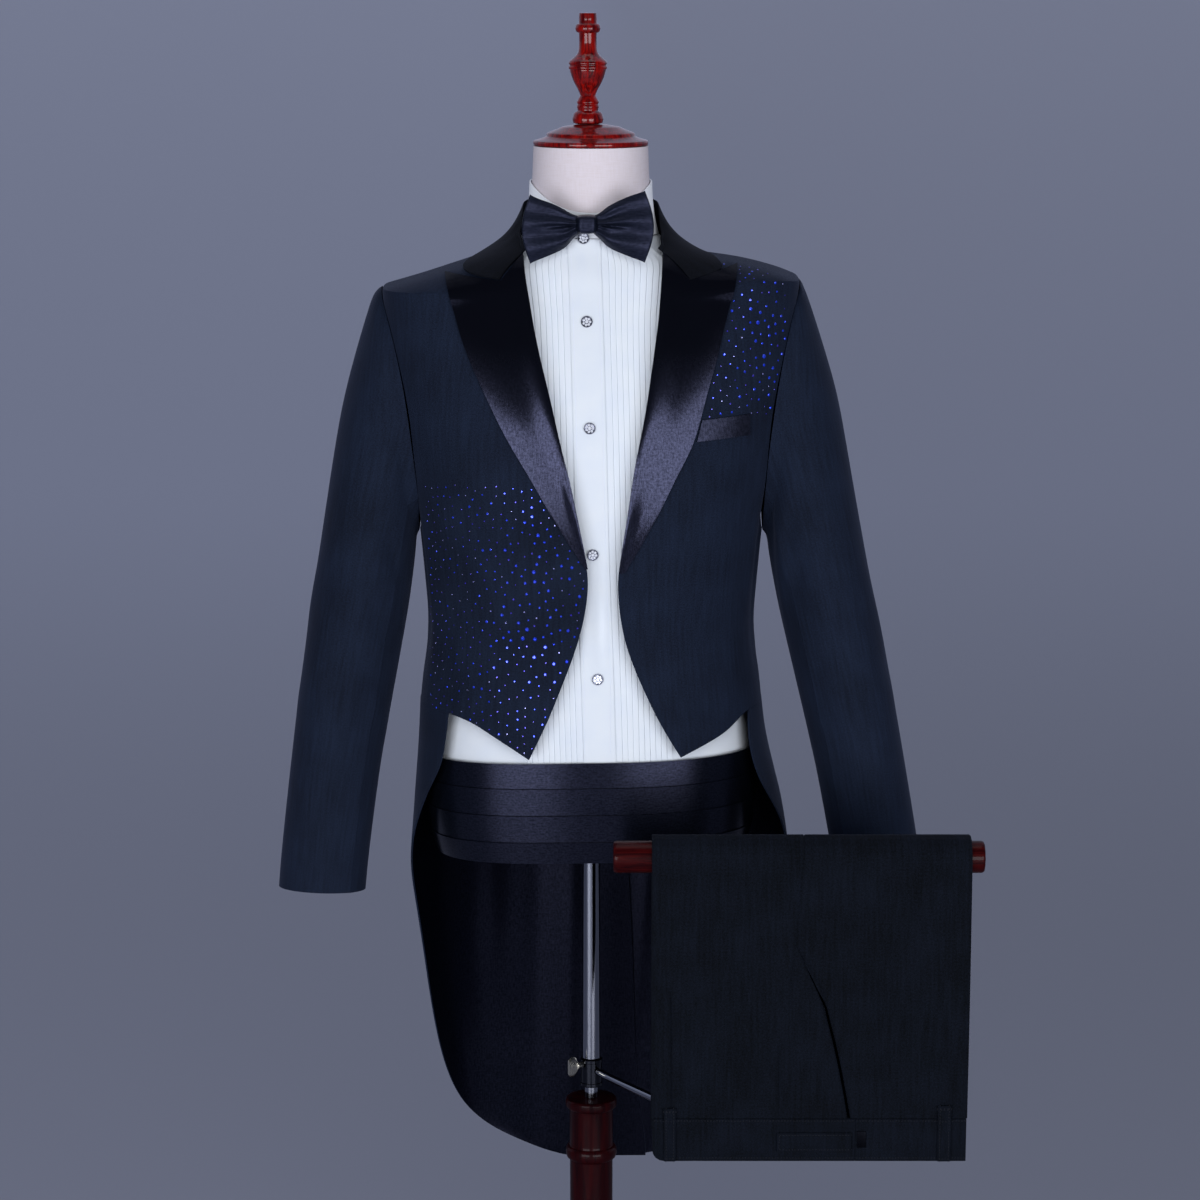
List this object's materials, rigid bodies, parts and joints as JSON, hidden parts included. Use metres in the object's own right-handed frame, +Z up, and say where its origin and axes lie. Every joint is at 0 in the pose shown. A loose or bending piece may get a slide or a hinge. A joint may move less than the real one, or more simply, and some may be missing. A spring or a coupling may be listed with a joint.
{
  "type": "tailcoat tuxedo on a dress form stand",
  "caption": "Tailcoat tuxedo with peaked satin lapels, tucked shirt, bow tie and cummerbund on a limbless dress form, its trousers folded over the stand's side bar.",
  "frame": {"origin": "centre of the base's underside, on the pole's axis, where the stand meets the floor", "axes": "+Z up the pole, -Y to the front of the coat, +X to the wearer's left, where the trousers hang"},
  "size_m": [0.7363, 0.4849, 1.697],
  "materials": {
    "wool": "fine black worsted wool, matt with a slight sheen",
    "trouser_wool": "dark navy-black worsted wool, matt",
    "satin": "black satin with a soft gloss",
    "cotton": "bluish white cotton poplin",
    "crystal": "clear cut crystal set in silver-coloured metal",
    "linen": "off-white linen jersey stretched over the form",
    "wood": "red mahogany stain under gloss lacquer",
    "steel": "polished chrome plate"
  },
  "bodies": {
    "root": {"coat_front_right": "wool", "coat_front_left": "wool", "coat_back_right": "wool", "coat_back_left": "wool", "tail_right": "wool", "tail_left": "wool", "topsleeve_right": "wool", "topsleeve_left": "wool", "undersleeve_right": "wool", "undersleeve_left": "wool", "coat_collar": "wool", "lapel_right": "satin", "lapel_left": "satin", "chest_welt": "satin", "bow_wing_right": "satin", "bow_wing_left": "satin", "bow_knot": "satin", "cummerbund_front": "satin", "cummerbund_back": "satin", "shirt_front_right": "cotton", "shirt_front_left": "cotton", "shirt_back": "cotton", "shirt_placket": "cotton", "shirt_collar": "cotton", "shirt_stud_1": "crystal", "shirt_stud_2": "crystal", "shirt_stud_3": "crystal", "shirt_stud_4": "crystal", "shirt_stud_5": "crystal", "trouser_leg_right": "trouser_wool", "trouser_leg_left": "trouser_wool", "waistband_right": "trouser_wool", "waistband_left": "trouser_wool", "belt_loop_1": "trouser_wool", "belt_loop_2": "trouser_wool", "waist_tab": "trouser_wool", "form_torso": "linen", "neck_cap": "wood", "finial": "wood", "trouser_bar": "wood", "post": "wood", "base": "wood", "pole_upper": "steel", "pole_lower": "steel", "arm_clamp": "steel", "clamp_knob": "steel", "trouser_arm": "steel", "waist_hook": "steel"}
  },
  "joints": []
}
